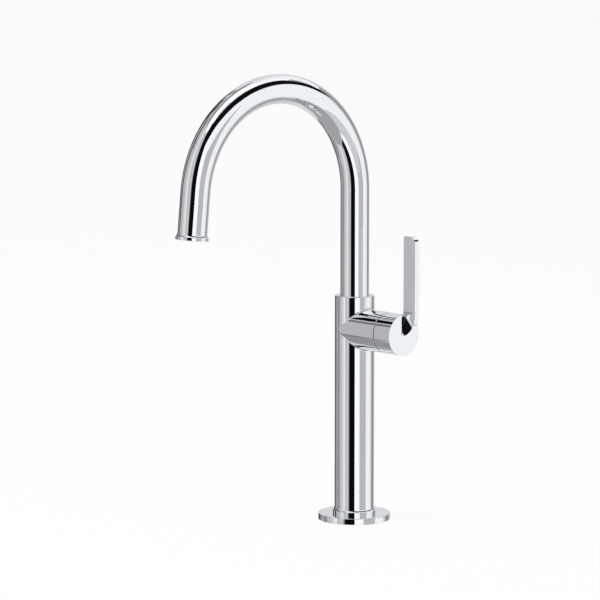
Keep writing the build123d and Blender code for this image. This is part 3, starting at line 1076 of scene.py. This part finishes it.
# Each card of the studio: its first and last azimuth from the camera in degrees, its lower and
# its upper edge in degrees and its display level, each at even steps between those azimuths.
# Later ones hang nearer.
CARDS = (
    ("ceiling", (-180, 180), (49.5,), (90,), (1.02,)),
    ("dome_fade", (-180, -63), (52,), (69, 74.5, 73.5, 67, 47), (0.93,)),
    ("dome_shade", (-180, -40.5), (51.5,), (68.5, 72, 70.5, 56.5, 52), (0.5, 0.59, 0.55, 1.05)),
    ("ground", (-180, 180), (-90,), (-47.5,), (0.64,)),
    ("back_left_panel", (-180, -158), (-59,), (55,), (0.85,)),
    ("back_left_gap", (-159, -148), (-37,), (48,), (0.18,)),
    ("back_left_streak", (-151.5, -130.5), (38,), (55,), (0.94,)),
    ("left_wall", (-148, -97.5), (-51.5, -25), (50.5,), (0.31, 0.69, 0.48)),
    ("left_wall_dark", (-132, -101.5), (-1,), (45, 37), (0.96, 0, 0.76)),
    ("left_corner", (-152, -135), (17.5, 31.5), (17, 49.5), (0,)),
    ("left_softbox", (-111.5, -52), (-4,), (52, 55.5), (0.75, 0.71, 0.89, 0.88)),
    ("left_low_softbox", (-98.5, -53.5), (-52, -54), (1.5,), (0.7, 0.76, 0.85, 1.05)),
    ("left_panel", (-57, -28.5), (-50,), (52.5,), (0.74, 0.83)),
    ("flag_edge", (-35, -29), (-52.5,), (54,), (0.6, 0.38)),
    ("front_flag", (-29.5, 3), (-54,), (59.5,), (0.04,)),
    ("front_softbox", (1.5, 19.5), (-55,), (60,), (1.01,)),
    ("right_softbox", (26.5, 76), (-52,), (60,), (0.97,)),
    ("right_shade", (30, 69.5), (-12.5,), (18.5,), (0.73,)),
    ("right_low_shade", (25, 65.5), (-53.5,), (-12.5,), (0.81,)),
    ("side_softbox", (75.5, 118.5), (-54,), (65,), (0.96, 0.97)),
    ("side_fade", (102, 119.5), (-50.5,), (27,), (0.94, 0.73)),
    ("right_wall", (115.5, 149), (-69,), (26.5,), (0.64, 0.48)),
    ("back_right_panel", (142.5, 180), (-60,), (27.5,), (0.77, 0.86)),
    ("back_top", (122, 180), (28.5,), (69,), (1.03, 0.86)),
    (
        "overhead_fade", (-20.5, 126.5), (44,),
        (70, 75.5, 78.5, 75.5, 77.5, 76, 74, 67.5, 52, 26), (0.54,),
    ),
    (
        "overhead_flag", (-28.5, 121.5),
        (58, 28.5, 37, 44, 45.5, 43, 38.5, 30.5, 19, 19),
        (60, 65, 69, 71.5, 73, 72.5, 70.5, 67, 56.5, 30.5),
        (0.06,),
    ),
    ("left_line", (-127, -115), (38,), (43,), (0,)),
    ("left_line_low", (-107.5, -101.5), (27.5,), (34.5,), (0.45,)),
    ("left_low_shade", (-155.5, -101), (-46.5,), (-27,), (0.58,)),
)


def to_linear(level):
    """A display level as the light that shows it."""
    return ((level + 0.055) / 1.055) ** 2.4 if level > 0.04 else level / 12.92


def along(values, share):
    """The value at a share of the way through evenly spaced values."""
    place = share * (len(values) - 1)
    first = min(int(place), max(0, len(values) - 2))
    last = min(first + 1, len(values) - 1)
    return values[first] + (values[last] - values[first]) * (place - first)


class FAUCET_OT_stage(bpy.types.Operator):
    """Makes the camera, floor, cards and lights"""

    bl_idname = "faucet.stage"
    bl_label = "Stage"

    def execute(self, context):
        stage = context.scene.faucet_stage
        scene = context.scene
        scene.view_settings.view_transform = "Standard"
        self.camera(scene, stage)
        self.floor(stage)
        self.cards(stage)
        self.world(scene)
        self.light("key", (-1.2, -2.2, 2.6), 1.8, 47.0)
        self.light("fill", (2.4, -0.6, 2.2), 2.2, 26.0)
        return {"FINISHED"}

    def camera(self, scene, stage):
        data = bpy.data.cameras.new("camera")
        data.lens = stage.focal_length
        data.sensor_width = 36.0
        data.clip_end = 100.0
        camera = shown("camera", data)
        azimuth = stage.camera_azimuth
        distance = stage.camera_distance
        camera.location = (sin(azimuth) * distance, -cos(azimuth) * distance, stage.camera_height)
        look = azimuth + stage.camera_yaw
        pitch = stage.camera_pitch
        forward = Vector((-sin(look) * cos(pitch), cos(look) * cos(pitch), -sin(pitch)))
        camera.rotation_mode = "QUATERNION"
        camera.rotation_quaternion = forward.to_track_quat("-Z", "Y")
        scene.camera = camera

    def floor(self, stage):
        size = 30.0
        corners = [(-size, -size, 0.0), (size, -size, 0.0), (size, size, 0.0), (-size, size, 0.0)]
        floor = new_piece("floor", corners, [(0, 1, 2, 3)])
        material, build = new_material("floor_paint")
        paint = build.add(
            "ShaderNodeBsdfDiffuse", {}, {"Color": rgba([stage.floor_shade] * 3), "Roughness": 0.0}
        )
        white = build.add("ShaderNodeEmission", {}, {"Color": WHITE, "Strength": 1.0})
        seen = build.add("ShaderNodeLightPath", output=0)
        share = seen * stage.floor_glow
        surface(build, build.add("ShaderNodeMixShader", {}, {0: share, 1: paint, 2: white}))
        floor.data.materials.append(material)
        floor.visible_glossy = False

    def cards(self, stage):
        """Plain cards round the object, which only polished metal sees."""
        vertices = []
        faces = []
        lights = []
        for index, card in enumerate(CARDS):
            self.card(stage, 1.0 - 0.003 * index, card, vertices, faces, lights)
        cards = new_piece("studio_cards", vertices, faces)
        colours = cards.data.color_attributes.new("light", "FLOAT_COLOR", "POINT")
        for index, light in enumerate(lights):
            colours.data[index].color = rgba(stage.card_tint, light)
        material, build = new_material("card_light")
        light = build.add("ShaderNodeVertexColor", {"layer_name": "light"})
        glow = build.add("ShaderNodeEmission", {}, {"Color": light, "Strength": 1.0})
        surface(build, glow)
        material.cycles.emission_sampling = "NONE"
        cards.data.materials.append(material)
        for ray in ("camera", "diffuse", "shadow", "transmission"):
            setattr(cards, f"visible_{ray}", False)

    def card(self, stage, nearness, card, vertices, faces, lights):
        """A patch of a large sphere round the object."""
        azimuths, lows, highs, levels = card[1:]
        radius = stage.card_radius * nearness
        columns = max(4, round((azimuths[1] - azimuths[0]) / 2))
        rows = 16
        start = len(vertices)
        for column in range(columns + 1):
            share = column / columns
            angle = radians(along(azimuths, share)) + stage.camera_azimuth
            low, high = along(lows, share), along(highs, share)
            for row in range(rows + 1):
                height = radians(low + (high - low) * row / rows)
                side, front = sin(angle), -cos(angle)
                flat = radius * cos(height)
                up = radius * sin(height) + stage.card_height
                vertices.append((flat * side, flat * front, up))
                lights.append(to_linear(along(levels, share)))
        for column in range(columns):
            for row in range(rows):
                corner = start + column * (rows + 1) + row
                faces.append((corner, corner + 1, corner + rows + 2, corner + rows + 1))

    def world(self, scene):
        world = bpy.data.worlds.new("studio")
        world.use_nodes = True
        world.node_tree.nodes.clear()
        build = Build(world.node_tree)
        seen = build.add("ShaderNodeLightPath", output=0)
        glossy, through = build.outputs(seen, "Is Glossy Ray", "Is Transmission Ray")
        share = seen.most(glossy).most(through)
        soft = build.add("ShaderNodeBackground", {}, {"Color": WHITE, "Strength": SKY_LEVEL})
        white = build.add("ShaderNodeBackground", {}, {"Color": WHITE, "Strength": 1.0})
        mixed = build.add("ShaderNodeMixShader", {}, {0: share, 1: soft, 2: white})
        build.add("ShaderNodeOutputWorld", {}, {"Surface": mixed})
        world.cycles.sampling_method = "NONE"
        scene.world = world

    def light(self, name, place, size, power):
        data = bpy.data.lights.new(name, "AREA")
        data.shape = "DISK"
        data.size = size
        data.energy = power
        lamp = shown(name, data)
        lamp.location = place
        aim = Vector((0.0, -0.05, 0.15)) - Vector(place)
        lamp.rotation_mode = "QUATERNION"
        lamp.rotation_quaternion = aim.to_track_quat("-Z", "Y")
        lamp.visible_glossy = False


class FAUCET_PT_panel(bpy.types.Panel):
    """Lists the faucet's steps."""

    bl_idname = "FAUCET_PT_panel"
    bl_label = "Faucet"
    bl_space_type = "VIEW_3D"
    bl_region_type = "UI"
    bl_category = "Faucet"

    def draw(self, context):
        for operator in OPERATORS:
            self.layout.operator(operator.bl_idname)


OPERATORS = (
    FAUCET_OT_base,
    FAUCET_OT_column,
    FAUCET_OT_spout,
    FAUCET_OT_outlet,
    FAUCET_OT_lever,
    FAUCET_OT_inner_works,
    FAUCET_OT_stage,
)
SETTINGS = {
    "faucet_column": FaucetColumnSettings,
    "faucet_spout": FaucetSpoutSettings,
    "faucet_lever": FaucetLeverSettings,
    "faucet_finish": FaucetFinishSettings,
    "faucet_stage": FaucetStageSettings,
}


def register():
    for name, group in SETTINGS.items():
        bpy.utils.register_class(group)
        setattr(bpy.types.Scene, name, bpy.props.PointerProperty(type=group))
    for operator in OPERATORS:
        bpy.utils.register_class(operator)
    bpy.utils.register_class(FAUCET_PT_panel)


def unregister():
    bpy.utils.unregister_class(FAUCET_PT_panel)
    for operator in reversed(OPERATORS):
        bpy.utils.unregister_class(operator)
    for name, group in SETTINGS.items():
        delattr(bpy.types.Scene, name)
        bpy.utils.unregister_class(group)


def main():
    register()
    bpy.ops.faucet.base()
    bpy.ops.faucet.column()
    bpy.ops.faucet.spout()
    bpy.ops.faucet.outlet()
    bpy.ops.faucet.lever()
    bpy.ops.faucet.inner_works()
    bpy.ops.faucet.stage()


if __name__ == "__main__":
    main()
